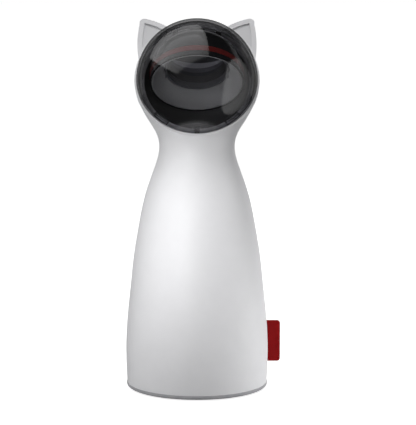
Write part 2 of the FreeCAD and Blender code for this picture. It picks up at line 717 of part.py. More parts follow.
def power_button():
    """Round cap with a flange behind the wall and a stem above the switch."""
    tip = BOARD_BACK + SWITCH_BODY + SWITCH_STEM + BUTTON_TRAVEL + SEAT
    face = tower_radius(BUTTON_Z) + BUTTON_PROUD
    cap = cylinder(BUTTON_R, tip, face)
    rim = [e for e in cap.Edges if e.CenterOfMass.z > face - SEAT]
    cap = cap.makeFillet(BUTTON_FILLET, rim)
    flange = cylinder(BUTTON_FLANGE_R, tip, tip + BUTTON_FLANGE)
    return lying(cap.fuse(flange).removeSplitter(), 0, BUTTON_Z)


# ---- face ----
def face_sector(inner, outer, low, high, middle, half):
    """Ring segment in the face plane about an angle."""
    segment = Part.makeCylinder(outer, high - low, V(0, 0, low), Z_AXIS, 2 * half)
    segment = segment.cut(cylinder(inner, low, high))
    return turned(segment, middle - half)


def hook(angle, play):
    half = HOOK_WIDTH / 2 + play
    low = -HOOK_LENGTH - play
    bar = box((HOOK_INNER - play, -half, low), (HOOK_OUTER, half, BEZEL_TOP + HOOK_RISE))
    return turned(bar, angle)


def grip_tab(angle, play):
    degrees = TAB_HALF + math.degrees(play / DOME_R)
    return face_sector(TAB_INNER - play, HOOK_OUTER, -TAB_DEPTH - play, BEZEL_TOP + HOOK_RISE,
                       angle, degrees)


def dome_cover():
    """Half-sphere of smoke plastic with five snap hooks and two grip tabs."""
    dome = Part.makeSphere(DOME_R, V(0, 0, 0), Z_AXIS, 0, 90, 360)
    dome = dome.cut(Part.makeSphere(DOME_R - DOME_WALL, V(0, 0, 0)))
    dome = dome.cut(cylinder(DOME_R + THROUGH, -THROUGH, SEAT))
    parts = [hook(a, 0.0) for a in HOOK_ANGLES] + [grip_tab(a, 0.0) for a in TAB_ANGLES]
    return on_face(fused([dome] + parts))


def face_bezel():
    """Conical trim ring between the shell and the window."""
    cone = revolved([(BEZEL_R, -BEZEL_BACK), (BEZEL_R, -BEZEL_TOP), (BEZEL_R - BEZEL_LAND, -BEZEL_TOP),
                     (WINDOW_R, -WINDOW_DEPTH), (WINDOW_R, -BEZEL_BACK)])
    for angle in HOOK_ANGLES:
        cone = cone.cut(hook(angle, SLIP))
    for angle in TAB_ANGLES:
        cone = cone.cut(grip_tab(angle, SLIP))
    return on_face(cone)


def chamber_liner():
    """Dark hollow ball behind the bezel, with the beam hole and holes for the barrel's stakes."""
    liner = sphere(LINER_R).cut(sphere(LINER_INNER)).cut(beyond_face(BEZEL_BACK + SEAT))
    liner = liner.cut(cylinder(BEAM_HOLE_R, 0, HEAD_Z, 0, LASER_Y))
    for angle in POST_ANGLES:
        stake = turned(cylinder(STAKE_R + RUN, -FAR, -BACK_WALL, POST_RING), angle)
        liner = liner.cut(in_barrel(stake))
    return liner


# ---- barrel and mirror ----
def barrel():
    """Black housing: tapering outside, stepped mouth, back wall with axle hub and posts."""
    outer = revolved([(0, 0), (BARREL_R, 0), (BARREL_R, STRIPE_TOP),
                      (BARREL_R - STRIPE_GROOVE, STRIPE_TOP), (BARREL_R - STRIPE_GROOVE, STRIPE_END),
                      (BARREL_R - STRIPE_SHADOW, STRIPE_END),
                      (*BARREL_BELLY, BARREL_BACK_R, BARREL_DEPTH),
                      (0, BARREL_DEPTH)], -1.0)
    mouth_r = BARREL_R - BARREL_WALL
    belly_r, belly_depth = BARREL_BELLY
    inner = revolved([(0, -THROUGH), (BOWL_R + SEAT, -THROUGH), (BOWL_R + SEAT, BOWL_WALL + SEAT),
                      (mouth_r, BOWL_WALL + SEAT), (mouth_r, STRIPE_END),
                      (belly_r - BARREL_WALL * math.cos(BELLY_SLANT),
                       belly_depth - BARREL_WALL * math.sin(BELLY_SLANT),
                       BARREL_BACK_R - BARREL_WALL / 3, BACK_WALL), (0, BACK_WALL)], -1.0)
    shape = outer.cut(inner)
    hub = cylinder(HUB_R, -BACK_WALL - THROUGH, -CARRIER_BACK - HUB_PLAY)
    posts = [turned(cylinder(POST_R, -FAR, -BACK_WALL, POST_RING), a) for a in POST_ANGLES]
    stakes = [turned(cylinder(STAKE_R, -FAR, -BACK_WALL, POST_RING), a) for a in POST_ANGLES]
    ball = placed(Part.makeSphere(LINER_INNER - SEAT, HEAD), BARREL.inverse())
    stake_ball = placed(Part.makeSphere(LINER_R - SEAT, HEAD), BARREL.inverse())
    shape = fused([shape, hub] + [p.common(ball) for p in posts]
                  + [s.common(stake_ball) for s in stakes])
    shape = shape.cut(cylinder(AXLE_R, -FAR, 0))
    shape = shape.cut(cylinder(MOTOR_BOSS_R + SEAT, -FAR, -CARRIER_BACK, 0, PINION_OFFSET))
    for x in (-MOTOR_EAR, MOTOR_EAR):
        pilot = cylinder(MOTOR_SCREW_R + RUN, -FAR, -BACK_WALL - MOTOR_PILOT_SKIN, x, PINION_OFFSET)
        shape = shape.cut(pilot)
    return in_barrel(shape)


def red_ring():
    top = STRIPE_TOP + RUN
    end = STRIPE_END - RUN
    groove = BARREL_R - STRIPE_GROOVE + RUN
    proud = BARREL_R + STRIPE_PROUD
    return in_barrel(revolved([(groove, top), (proud, top), (proud, end), (groove, end)], -1.0))


def reflector_bowl():
    """Grey dish round the mirror, dropped into the barrel's mouth."""
    inner_r = CARRIER_R + TURN
    slant = BOWL_WALL * math.sqrt(0.5)
    mouth_r = BOWL_R - BOWL_LIP
    return in_barrel(revolved([(mouth_r, 0), (BOWL_R, 0), (BOWL_R, BOWL_WALL),
                               (BARREL_R - BARREL_WALL - SEAT, BOWL_WALL),
                               (BOWL_BELLY[0] + slant, BOWL_BELLY[1] + slant,
                                inner_r, BOWL_DEPTH + BOWL_WALL),
                               (inner_r, BOWL_DEPTH), (*BOWL_BELLY, mouth_r, 0)], -1.0))


def involute_point(base_r, radius):
    """Angle that an involute from a base circle has swept where it reaches a radius."""
    if radius <= base_r:
        return 0.0
    roll = math.sqrt((radius / base_r) ** 2 - 1)
    return roll - math.atan(roll)


def gear_outline(teeth, root_r, tip_r, thin):
    """Closed outline of a gear whose teeth start with one on +Y; thin narrows every tooth."""
    pitch_r = MODULE * teeth / 2
    base_r = pitch_r * math.cos(math.radians(PRESSURE_ANGLE))
    half = math.pi / (2 * teeth) - thin / (2 * pitch_r) + involute_point(base_r, pitch_r)
    radii = [root_r, pitch_r, tip_r]
    flank = [(r, half - involute_point(base_r, r)) for r in radii]
    points = []
    for tooth in range(teeth):
        middle = math.pi / 2 + 2 * math.pi * tooth / teeth
        for radius, angle in flank:
            points.append((radius, middle - angle))
        for radius, angle in reversed(flank):
            points.append((radius, middle + angle))
    corners = [V(r * math.cos(a), r * math.sin(a), 0) for r, a in points]
    return Part.makePolygon(corners + corners[:1])


def mirror_carrier():
    """Turning cup: side wall with two grip fingers, floor with a bore, internal ring gear."""
    wall_in = CARRIER_R - CARRIER_WALL
    cup = revolved([(wall_in, CARRIER_FRONT), (CARRIER_R, CARRIER_FRONT),
                    (CARRIER_R, CARRIER_FLOOR), (CARRIER_R - CARRIER_CHAMFER, CARRIER_BACK),
                    (AXLE_R + RUN, CARRIER_BACK), (AXLE_R + RUN, CARRIER_FLOOR),
                    (wall_in, CARRIER_FLOOR)], -1.0)
    half = FINGER_WIDTH / 2
    fingers = box((-FAR, -half, -CARRIER_FRONT - THROUGH), (FAR, half, -FINGER_TOP))
    fingers = fingers.common(ring(CARRIER_R, wall_in, -FAR, FAR))
    gear_low = -CARRIER_BACK - GEAR_DEPTH
    gear = ring(RING_R, RING_PITCH_R - MODULE / 2, gear_low, -CARRIER_BACK + GEAR_ROOT)
    shape = fused([cup, gear] + fingers.Solids)
    space = gear_outline(RING_TEETH, RING_PITCH_R - RING_ADDENDUM * MODULE,
                         RING_PITCH_R + RING_DEDENDUM * MODULE, -BACKLASH / 2)
    space.translate(V(0, 0, gear_low - THROUGH))
    shape = shape.cut(Part.Face(space).extrude(V(0, 0, GEAR_DEPTH + THROUGH)))
    for side in (-1, 1):
        pin = Part.makeCylinder(PIVOT_R, FRAME_WALL, V(side * CARRIER_R, 0, -PIVOT_DEPTH),
                                X_AXIS * -side)
        shape = shape.cut(pin)
    return in_barrel(shape)


def pivot_pins():
    length = CARRIER_R - FRAME_R + PIN_BITE
    pins = [Part.makeCylinder(PIVOT_R, length, V(s * (CARRIER_R - SEAT), 0, -PIVOT_DEPTH), X_AXIS * -s)
            for s in (-1, 1)]
    return in_barrel(group(pins))


def tilted(shape):
    """Turn the mirror to its first click position about its pivot."""
    shape.rotate(V(0, 0, -PIVOT_DEPTH), X_AXIS, REST_TILT)
    return in_barrel(shape)


def mirror_frame():
    pocket = GLASS_DEPTH + GLASS_THICK + SEAT
    frame = revolved([(0, pocket), (GLASS_R + SEAT, pocket), (GLASS_R + SEAT, GLASS_DEPTH),
                      (FRAME_R - FRAME_EDGE, FRAME_FRONT), (FRAME_R, FRAME_FRONT),
                      (FRAME_R, PIVOT_DEPTH + PIVOT_SHOULDER), (FRAME_R - FRAME_TAPER, FRAME_BACK),
                      (0, FRAME_BACK)], -1.0)
    for side in (-1, 1):
        bore = Part.makeCylinder(PIVOT_R + RUN, 2 * PIN_BITE, V(side * (FRAME_R + PIN_BITE / 2), 0,
                                 -PIVOT_DEPTH), X_AXIS * -side)
        frame = frame.cut(bore)
    return tilted(frame)


def mirror_glass():
    low = -GLASS_DEPTH - GLASS_THICK
    return tilted(cylinder(GLASS_R, low, -GLASS_DEPTH))


def carrier_axle():
    return in_barrel(cylinder(AXLE_R, -BARREL_DEPTH, -CARRIER_FLOOR + CLIP_THICK + AXLE_END))


def axle_clip():
    low = -CARRIER_FLOOR + SEAT
    clip = ring(CLIP_R, AXLE_R, low, low + CLIP_THICK)
    return in_barrel(clip.cut(box((-CLIP_SLOT, -FAR, low), (CLIP_SLOT, 0, low + CLIP_THICK))))


def motor_pinion():
    outline = gear_outline(PINION_TEETH, PINION_PITCH_R - DEDENDUM * MODULE,
                           PINION_PITCH_R + ADDENDUM * MODULE, BACKLASH / 2)
    pinion = Part.Face(outline).extrude(V(0, 0, PINION_WIDTH)).cut(cylinder(MOTOR_SHAFT_R, -FAR, FAR))
    pinion.translate(V(0, PINION_OFFSET, -CARRIER_BACK - GEAR_DEPTH + SEAT))
    return in_barrel(pinion)


def motor_shaft():
    top = -CARRIER_BACK - GEAR_DEPTH + SEAT + PINION_WIDTH
    low = -BARREL_DEPTH - MOTOR_LENGTH + SHAFT_ROOT
    return in_barrel(cylinder(MOTOR_SHAFT_R, low, top, 0, PINION_OFFSET))


def drive_motor():
    """Flat can motor with two screw ears, hung on the outside of the barrel's back wall."""
    top = -BARREL_DEPTH - RUN
    can = cylinder(MOTOR_R, top - MOTOR_LENGTH, top, 0, PINION_OFFSET)
    boss = cylinder(MOTOR_BOSS_R, top, -BACK_WALL - SEAT, 0, PINION_OFFSET)
    reach = MOTOR_EAR + MOTOR_EAR_HALF
    ears = box((-reach, PINION_OFFSET - MOTOR_EAR_HALF, top - MOTOR_EAR_THICK),
               (reach, PINION_OFFSET + MOTOR_EAR_HALF, top))
    motor = fused([can, boss, ears])
    bore_low = -BARREL_DEPTH - MOTOR_LENGTH + SHAFT_ROOT - SEAT
    motor = motor.cut(cylinder(MOTOR_SHAFT_R + RUN, bore_low, 0, 0, PINION_OFFSET))
    for x in (-MOTOR_EAR, MOTOR_EAR):
        motor = motor.cut(cylinder(MOTOR_SCREW_R + RUN, -FAR, 0, x, PINION_OFFSET))
    return in_barrel(motor)


def motor_screws():
    low = -BARREL_DEPTH - 2 * RUN - MOTOR_EAR_THICK - MOTOR_SCREW_HEAD
    screws = [pan_screw(MOTOR_SCREW_R, MOTOR_SCREW_HEAD_R, MOTOR_SCREW_HEAD, low,
                        MOTOR_SCREW_LENGTH, x, PINION_OFFSET) for x in (-MOTOR_EAR, MOTOR_EAR)]
    return in_barrel(group(screws))


# ---- laser ----
def laser_module():
    body = cylinder(LASER_R, LASER_TOP - LASER_LENGTH, LASER_TOP, 0, LASER_Y)
    pocket_low = LASER_TOP - LENS_THICK - SEAT
    return body.cut(cylinder(LENS_R + SEAT, pocket_low, LASER_TOP + THROUGH, 0, LASER_Y))


def laser_lens():
    return cylinder(LENS_R, LASER_TOP - LENS_THICK, LASER_TOP - LENS_SUNK, 0, LASER_Y)


def laser_holder():
    """Sleeve under the chamber liner that clamps the laser module."""
    sleeve = ring(LASER_R + HOLDER_WALL, LASER_R + RUN, HOLDER_LOW, LASER_TOP + HOLDER_TOP)
    sleeve.translate(V(0, LASER_Y, 0))
    hole = Part.makeCylinder(GRUB_R + RUN, FAR, V(0, LASER_Y, HOLDER_LOW + GRUB_HEIGHT), Y_AXIS)
    return sleeve.cut(sphere(LINER_R + SEAT)).cut(hole)


def grub_screw():
    start = V(0, LASER_Y + LASER_R + RUN, HOLDER_LOW + GRUB_HEIGHT)
    return Part.makeCylinder(GRUB_R, HOLDER_WALL, start, Y_AXIS)


BUILDERS = (
    front_shell, rear_shell, side_tag, base_cover, base_screws, foot_ring, battery_door, door_pad,
    door_contacts, battery_cells, top_contacts, battery_box, box_screws, circuit_board, board_screws,
    usb_socket, tact_switch, power_button, dome_cover, face_bezel, chamber_liner, barrel, red_ring,
    reflector_bowl, mirror_carrier, pivot_pins, mirror_frame, mirror_glass, carrier_axle, axle_clip,
    motor_pinion, motor_shaft, drive_motor, motor_screws, laser_module, laser_lens, laser_holder,
    grub_screw)

os.makedirs("parts", exist_ok=True)
for build in BUILDERS:
    shape = build()
    assert shape.isValid() and shape.Volume > 0, build.__name__
    shape.exportStep("parts/" + build.__name__ + ".step")
    print(build.__name__, len(shape.Solids), round(shape.Volume, 1))
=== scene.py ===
import bmesh
import bpy
import math
from mathutils import Matrix, Vector

# Automatic cat laser toy: the finishes of its pieces, and a pale studio round it.
# Metres, +Z up, the toy looks towards -Y.

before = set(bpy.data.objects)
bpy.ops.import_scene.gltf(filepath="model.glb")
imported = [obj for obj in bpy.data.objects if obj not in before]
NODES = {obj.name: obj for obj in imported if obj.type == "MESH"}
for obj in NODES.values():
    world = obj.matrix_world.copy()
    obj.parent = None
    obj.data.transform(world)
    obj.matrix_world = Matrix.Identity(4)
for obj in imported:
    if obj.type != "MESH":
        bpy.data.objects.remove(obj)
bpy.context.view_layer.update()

# ---- camera ----
IMAGE_LONG_SIDE = 425          # pixels
FOCAL_PIXELS = 1981            # focal length against that side
SENSOR = 36.0                  # millimetres
AIM = Vector((0.0, 0.0, 0.1064))        # point of the toy's axis that the camera faces
CAMERA_DISTANCE = 1.191
CAMERA_ELEVATION = 8.2         # degrees
AXIS_LEFT_OF_CENTRE = 11       # pixels from the picture's centre to the toy's axis

# ---- smoke dome ----
DOME_TINT = "#F0F0F1"          # passed by each face of the wall, seen square on
DOME_EDGE_TINT = "#303032"     # passed by each face at the dome's edge
DOME_EDGE_POWER = 2.0          # keeps the dark of the edge away from the middle
DOME_SHINE = 0.055             # share of light that each face mirrors
DOME_POLISH = 0.06             # roughness of the polished faces

# ---- head and ears ----
HEAD = Vector((0.0, -0.005, 0.187))     # centre of the head ball
BALL_R = 0.0372                # head ball, which the ears stand on
FACE_ELEVATION = 32.0          # degrees; the round face and the ears look up by this angle
# the painted shade in the ears' hollows lies between these two depths
EAR_FLOOR_NEAR = 0.0047        # floor of the ears' hollows behind the ball's centre, at its nearest
EAR_FLOOR_FAR = 0.0058         # and at its farthest
FACING = 0.9                   # cosine above which a surface looks the way the face does

# ---- light ----
WHITE = (1.0, 1.0, 1.0, 1.0)
AMBIENT = 0.36                 # strength of the surroundings on matte surfaces
DIM_ROOM = 0.02                # strength of the room beside and in front of the toy, in gloss
BRIGHT_ROOM_START = 0.85       # the room brightens in gloss from this far towards straight behind
FLOOR_GLOW = 0.86              # keeps the floor white to the eye, less its shadow
FLOOR_TONE = "#C4C4C4"         # floor as matte light and the eye see it
DIM_FLOOR_TONE = "#1A1A1A"     # floor beside and in front of the toy, in gloss
FLOOR_ROUGHNESS = 0.9
FLOOR_HALF = 6.0               # half of the floor's side
UP = (0.0, 0.0, 1.0)
MIDDLE = (0.0, 0.0, 0.0)       # the head's centre, as a lamp's target

# ---- textures ----
MILLIMETRE = 0.001
NOISE_SPAN = (0.3, 0.7)        # most values of a noise lie between these
SOFT_DETAIL = 2.0              # noise of drifting tones and of moulded relief
RUBBED_DETAIL = 4.0            # noise of handled surfaces
EVEN = (1.0, 1.0, 1.0)         # noise that isn't stretched
ABS_IOR = 1.53


# ---- nodes ----
def colour(hex_code):
    """Linear colour of an sRGB hex code."""
    values = [int(hex_code[i:i + 2], 16) / 255 for i in (1, 3, 5)]
    linear = [v / 12.92 if v <= 0.04045 else ((v + 0.055) / 1.055) ** 2.4 for v in values]
    return (*linear, 1.0)


def add_node(tree, kind, inputs=(), **settings):
    """One node with its settings and its inputs, each a fixed value or another node's output."""
    node = tree.nodes.new(kind)
    for name, value in settings.items():
        setattr(node, name, value)
    for socket, value in dict(inputs).items():
        if isinstance(value, bpy.types.NodeSocket):
            tree.links.new(value, node.inputs[socket])
        else:
            node.inputs[socket].default_value = value
    return node


def maths(tree, operation, *inputs):
    """Output of a maths node."""
    return add_node(tree, "ShaderNodeMath", enumerate(inputs), operation=operation).outputs["Value"]


def vector_maths(tree, operation, *inputs):
    """Outputs of a vector maths node."""
    return add_node(tree, "ShaderNodeVectorMath", enumerate(inputs), operation=operation).outputs


def remap(tree, value, low, high, start=0.0, end=1.0):
    """Output that goes from low to high while a value goes from start to end."""
    return add_node(tree, "ShaderNodeMapRange",
                    {"Value": value, "From Min": start, "From Max": end, "To Min": low,
                     "To Max": high}).outputs["Result"]


def blend(tree, factor, first, second):
    """Output of a mix of two colours."""
    return add_node(tree, "ShaderNodeMix", {"Factor": factor, "A": first, "B": second},
                    data_type="RGBA").outputs["Result"]


def new_material(name):
    """A material with nodes; returns it, its tree and its Principled shader."""
    material = bpy.data.materials.new(name)
    material.use_nodes = True
    return material, material.node_tree, material.node_tree.nodes["Principled BSDF"]


def new_finish(name, base, roughness, metallic=0.0, **sockets):
    """A material whose Principled shader has these values; returned like a new material."""
    material, tree, shader = new_material(name)
    shader.inputs["Base Color"].default_value = colour(base)
    shader.inputs["Roughness"].default_value = roughness
    shader.inputs["Metallic"].default_value = metallic
    for socket, value in sockets.items():
        shader.inputs[socket.replace("_", " ")].default_value = value
    return material, tree, shader


def grain(tree, size_mm, detail, stretch):
    """Noise whose spots are about a size across, in the piece's own coordinates."""
    place = add_node(tree, "ShaderNodeTexCoord").outputs["Object"]
    mapping = add_node(tree, "ShaderNodeMapping", {"Vector": place, "Scale": stretch})
    return add_node(tree, "ShaderNodeTexNoise",
                    {"Vector": mapping.outputs["Vector"], "Scale": 1 / (size_mm * MILLIMETRE),
                     "Detail": detail}).outputs["Fac"]


def mottle(tree, shader, light, dark, size_mm, stretch=EVEN):
    """Slow drift of the base colour between two close tones; returns the colour's output."""
    ramp = add_node(tree, "ShaderNodeValToRGB", {"Fac": grain(tree, size_mm, SOFT_DETAIL, stretch)})
    for element, position, tone in zip(ramp.color_ramp.elements, NOISE_SPAN, (dark, light)):
        element.position = position
        element.color = colour(tone)
    tree.links.new(ramp.outputs["Color"], shader.inputs["Base Color"])
    return ramp.outputs["Color"]


def rubbed(tree, shader, low, high, size_mm, stretch=EVEN):
    """Roughness that wanders between two values, as handling leaves it."""
    noise = grain(tree, size_mm, RUBBED_DETAIL, stretch)
    tree.links.new(remap(tree, noise, low, high, *NOISE_SPAN), shader.inputs["Roughness"])


def pitted(tree, shader, size_mm, depth_mm, strength, stretch=EVEN):
    """Fine relief of a moulded texture or of wrinkles."""
    bump = add_node(tree, "ShaderNodeBump",
                    {"Height": grain(tree, size_mm, SOFT_DETAIL, stretch), "Strength": strength,
                     "Distance": depth_mm * MILLIMETRE})
    tree.links.new(bump.outputs["Normal"], shader.inputs["Normal"])


def ear_hollow_shade_mask(tree):
    """Mask of the painted shade in the ears' hollows: 1 on the floor of the hollows, which looks the way
    the face does, behind the ball's centre and outside the ball."""
    rise = math.radians(FACE_ELEVATION)
    outward = (0.0, -math.cos(rise), math.sin(rise))
    place = add_node(tree, "ShaderNodeTexCoord").outputs["Object"]
    normal = add_node(tree, "ShaderNodeNewGeometry").outputs["True Normal"]
    offset = vector_maths(tree, "SUBTRACT", place, tuple(HEAD))["Vector"]
    depth = vector_maths(tree, "DOT_PRODUCT", offset, outward)["Value"]
    reach = vector_maths(tree, "LENGTH", offset)["Value"]
    turn = vector_maths(tree, "DOT_PRODUCT", normal, outward)["Value"]
    behind = maths(tree, "COMPARE", depth, -(EAR_FLOOR_NEAR + EAR_FLOOR_FAR) / 2,
                   (EAR_FLOOR_FAR - EAR_FLOOR_NEAR) / 2)
    outside = maths(tree, "GREATER_THAN", reach, BALL_R)
    level = maths(tree, "GREATER_THAN", turn, FACING)
    return maths(tree, "MULTIPLY", maths(tree, "MULTIPLY", behind, outside), level)


# ---- finishes ----
def satin_white_abs():
    """Injection-moulded ABS with a fine satin texture: broad soft highlights and clean white. The hollows
    of the ears get a painted shade, a greyer tone standing in for the shade of the recess."""
    material, tree, shader = new_finish("satin_white_abs", "#E2E2E4", 0.4, IOR=ABS_IOR)
    plain = mottle(tree, shader, "#E3E3E5", "#E1E1E3", size_mm=9.0)
    # painted shade: the floor of the ears' hollows is mixed towards a darker grey, for the shade that falls
    # in the recess
    with_painted_shade = blend(tree, ear_hollow_shade_mask(tree), plain, colour("#D6D6D8"))
    tree.links.new(with_painted_shade, shader.inputs["Base Color"])
    rubbed(tree, shader, 0.38, 0.43, size_mm=6.0)
    # real grit is 0.1 mm; it is drawn at 0.7 mm so that it shows
    pitted(tree, shader, size_mm=0.7, depth_mm=0.01, strength=0.08)
    return material


def textured_grey_abs():
    """Spark-textured grey ABS: a duller skin that scatters the light at the foot."""
    material, tree, shader = new_finish("textured_grey_abs", "#A9A9AC", 0.52, IOR=ABS_IOR)
    mottle(tree, shader, "#ACACAF", "#A4A4A8", size_mm=5.0)
    pitted(tree, shader, size_mm=0.6, depth_mm=0.05, strength=0.3)
    return material


def moulded_red_silicone():
    """Soft moulded silicone: deep red with a dull bloom and no hard highlight."""
    material, tree, shader = new_finish("moulded_red_silicone", "#9C0A0E", 0.62, IOR=1.41,
                                        Specular_IOR_Level=0.25)
    mottle(tree, shader, "#A00B0F", "#96090D", size_mm=4.0)
    pitted(tree, shader, size_mm=0.5, depth_mm=0.04, strength=0.25)
    return material


def moulded_black_rubber():
    """Anti-slip rubber: matte black with a little dust in its pores."""
    material, tree, shader = new_finish("moulded_black_rubber", "#1B1B1C", 0.82, IOR=1.52)
    mottle(tree, shader, "#232324", "#161617", size_mm=3.0)
    pitted(tree, shader, size_mm=0.6, depth_mm=0.08, strength=0.5)
    return material


def polished_smoke_polycarbonate():
    """Smoke-tinted polycarbonate, polished: what lies behind is dim, dimmer towards the dome's edge,
    where the line of sight stays longer in the wall, and the cards show as sharp pale shapes."""
    material, tree, shader = new_material("polished_smoke_polycarbonate")
    facing = add_node(tree, "ShaderNodeLayerWeight").outputs["Facing"]
    longer = maths(tree, "POWER", facing, DOME_EDGE_POWER)
    tint = blend(tree, longer, colour(DOME_TINT), colour(DOME_EDGE_TINT))
    smoke = add_node(tree, "ShaderNodeBsdfTransparent", {"Color": tint})
    skin = add_node(tree, "ShaderNodeBsdfGlossy", {"Color": WHITE, "Roughness": DOME_POLISH})
    cover = add_node(tree, "ShaderNodeMixShader",
                     enumerate((DOME_SHINE, smoke.outputs["BSDF"], skin.outputs["BSDF"])))
    tree.links.new(cover.outputs["Shader"], tree.nodes["Material Output"].inputs["Surface"])
    tree.nodes.remove(shader)
    return material


def satin_mid_grey_abs():
    """Satin mid grey ABS of the window's ring: soft sheen, and under the smoke dome still paler than
    the chamber behind it."""
    material, tree, shader = new_finish("satin_mid_grey_abs", "#B2B2B6", 0.36, IOR=ABS_IOR)
    # texture of 0.1 mm is drawn at 0.5 mm so that it shows
    mottle(tree, shader, "#B4B4B8", "#AFAFB3", size_mm=0.5)
    return material


def matte_dark_grey_abs():
    """Moulded dark grey ABS with a fine texture: it looks black under the smoke dome, and its light
    fades softly down the wall."""
    material, tree, shader = new_finish("matte_dark_grey_abs", "#545456", 0.6, IOR=ABS_IOR)
    mottle(tree, shader, "#565658", "#525254", size_mm=4.0)
    pitted(tree, shader, size_mm=0.6, depth_mm=0.02, strength=0.1)
    return material


def gloss_black_abs():
    """Polished-mould black ABS: deep black with crisp edges of light."""
    material, tree, shader = new_finish("gloss_black_abs", "#141416", 0.16, IOR=ABS_IOR)
    rubbed(tree, shader, 0.13, 0.22, size_mm=5.0)
    return material


def gloss_red_abs():
    """Polished deep red ABS: a saturated stripe."""
    material, tree, shader = new_finish("gloss_red_abs", "#661815", 0.3, IOR=ABS_IOR)
    rubbed(tree, shader, 0.18, 0.27, size_mm=4.0)
    return material


def satin_grey_abs():
    """Satin grey ABS of the bowl: dark under the smoke dome, and lighter below than above."""
    material, tree, shader = new_finish("satin_grey_abs", "#AEAEB0", 0.32, IOR=ABS_IOR)
    mottle(tree, shader, "#B0B0B2", "#ACACAE", size_mm=5.0)
    rubbed(tree, shader, 0.28, 0.38, size_mm=5.0)
    return material


def moulded_grey_acetal():
    """Acetal of the turning cup: waxy, darker than the bowl."""
    material, tree, shader = new_finish("moulded_grey_acetal", "#77777B", 0.38, IOR=1.48)
    rubbed(tree, shader, 0.33, 0.44, size_mm=3.0)
    return material


def silvered_glass():
    """Front-silvered glass: a clean mirror with the faint cool cast of silver."""
    material, tree, shader = new_finish("silvered_glass", "#DCDCE4", 0.02, metallic=1.0)
    rubbed(tree, shader, 0.01, 0.05, size_mm=8.0)
    return material


def brushed_steel():
    """Brushed zinc-plated steel: streaked highlights."""
    material, tree, shader = new_finish("brushed_steel", "#B9B9BC", 0.3, metallic=1.0)
    rubbed(tree, shader, 0.24, 0.42, size_mm=0.6, stretch=(1.0, 1.0, 0.1))
    return material


def black_oxide_steel():
    """Blackened steel of the gearmotor's can and screws: dark and oily, with a faint sheen."""
    material, tree, shader = new_finish("black_oxide_steel", "#2A2A2C", 0.42, metallic=1.0)
    rubbed(tree, shader, 0.36, 0.5, size_mm=1.5)
    return material


def turned_brass():
    """Turned brass: warm metal with fine rings."""
    material, tree, shader = new_finish("turned_brass", "#D2A85C", 0.26, metallic=1.0)
    rubbed(tree, shader, 0.2, 0.36, size_mm=0.5, stretch=(0.2, 0.2, 2.0))
    return material


def green_solder_mask():
    """Green solder mask over copper: glossy with the tracks just showing as tone."""
    material, tree, shader = new_finish("green_solder_mask", "#1C6B3C", 0.28, IOR=1.52)
    mottle(tree, shader, "#227544", "#175A32", size_mm=1.6, stretch=(0.15, 1.0, 1.0))
    return material


def gloss_shrink_sleeve():
    """Plain dark shrink sleeve of a battery: glossy film with soft wrinkles."""
    material, tree, shader = new_finish("gloss_shrink_sleeve", "#23262C", 0.25, IOR=1.5)
    pitted(tree, shader, size_mm=3.0, depth_mm=0.1, strength=0.2, stretch=(1.0, 1.0, 0.3))
    return material


def fine_textured_grey_abs():
    """Grey ABS of the button's cap with a fine texture: a dull grey spot on the white shell."""
    material, tree, shader = new_finish("fine_textured_grey_abs", "#97979B", 0.4, IOR=ABS_IOR)
    mottle(tree, shader, "#9B9B9F", "#929296", size_mm=3.0)
    pitted(tree, shader, size_mm=0.5, depth_mm=0.03, strength=0.2)
    return material


def clear_moulded_acrylic():
    """Clear moulded acrylic of the laser's lens: bright and glassy."""
    material, _, _ = new_finish("clear_moulded_acrylic", "#EEF2F4", 0.03, IOR=1.49, Transmission_Weight=1.0)
    return material


FINISHES = {
    satin_white_abs: ("front_shell", "rear_shell"),
    textured_grey_abs: ("base_cover", "battery_door"),
    moulded_red_silicone: ("side_tag",),
    moulded_black_rubber: ("foot_ring", "door_pad"),
    polished_smoke_polycarbonate: ("dome_cover",),
    satin_mid_grey_abs: ("face_bezel",),
    matte_dark_grey_abs: ("chamber_liner", "mirror_frame", "battery_box", "tact_switch",
                          "laser_holder"),
    gloss_black_abs: ("barrel",),
    gloss_red_abs: ("red_ring",),
    satin_grey_abs: ("reflector_bowl",),
    moulded_grey_acetal: ("mirror_carrier",),
    silvered_glass: ("mirror_glass",),
    brushed_steel: ("base_screws", "box_screws", "board_screws", "pivot_pins", "carrier_axle",
                    "axle_clip", "motor_shaft", "door_contacts", "top_contacts", "usb_socket",
                    "grub_screw"),
    black_oxide_steel: ("drive_motor", "motor_screws"),
    turned_brass: ("motor_pinion", "laser_module"),
    green_solder_mask: ("circuit_board",),
    gloss_shrink_sleeve: ("battery_cells",),
    fine_textured_grey_abs: ("power_button",),
    clear_moulded_acrylic: ("laser_lens",),
}


def dress_nodes():
    """Each piece gets its finish."""
    for make_finish, names in FINISHES.items():
        finish = make_finish()
        for name in names:
            NODES[name].data.materials.clear()
            NODES[name].data.materials.append(finish)


# ---- studio ----
def backdrop_light(tree, shade, plain, white):
    """Strength of the background: white to the eye and through glass, shaded in gloss, and plain on
    matte surfaces."""
    path = add_node(tree, "ShaderNodeLightPath").outputs
    seen = maths(tree, "MAXIMUM", path["Is Camera Ray"], path["Is Transmission Ray"])
    matte = remap(tree, seen, plain, white)
    gloss = remap(tree, shade, white * DIM_ROOM - plain, white - plain)
    return maths(tree, "MULTIPLY_ADD", path["Is Glossy Ray"], gloss, matte)


def straight_behind(tree, direction):
    """0 beside and in front of the toy, rising to 1 straight behind it."""
    split = add_node(tree, "ShaderNodeSeparateXYZ", {"Vector": direction})
    return remap(tree, split.outputs["Y"], 0.0, 1.0, start=BRIGHT_ROOM_START)


def make_world():
    """White behind the toy; the room beside and in front of it is dim in gloss."""
    world = bpy.data.worlds.new("studio")
    bpy.context.scene.world = world
    world.use_nodes = True
    tree = world.node_tree
    background = tree.nodes["Background"]
    behind = straight_behind(tree, add_node(tree, "ShaderNodeTexCoord").outputs["Generated"])
    tree.links.new(backdrop_light(tree, behind, AMBIENT, 1.0), background.inputs["Strength"])
    background.inputs["Color"].default_value = WHITE


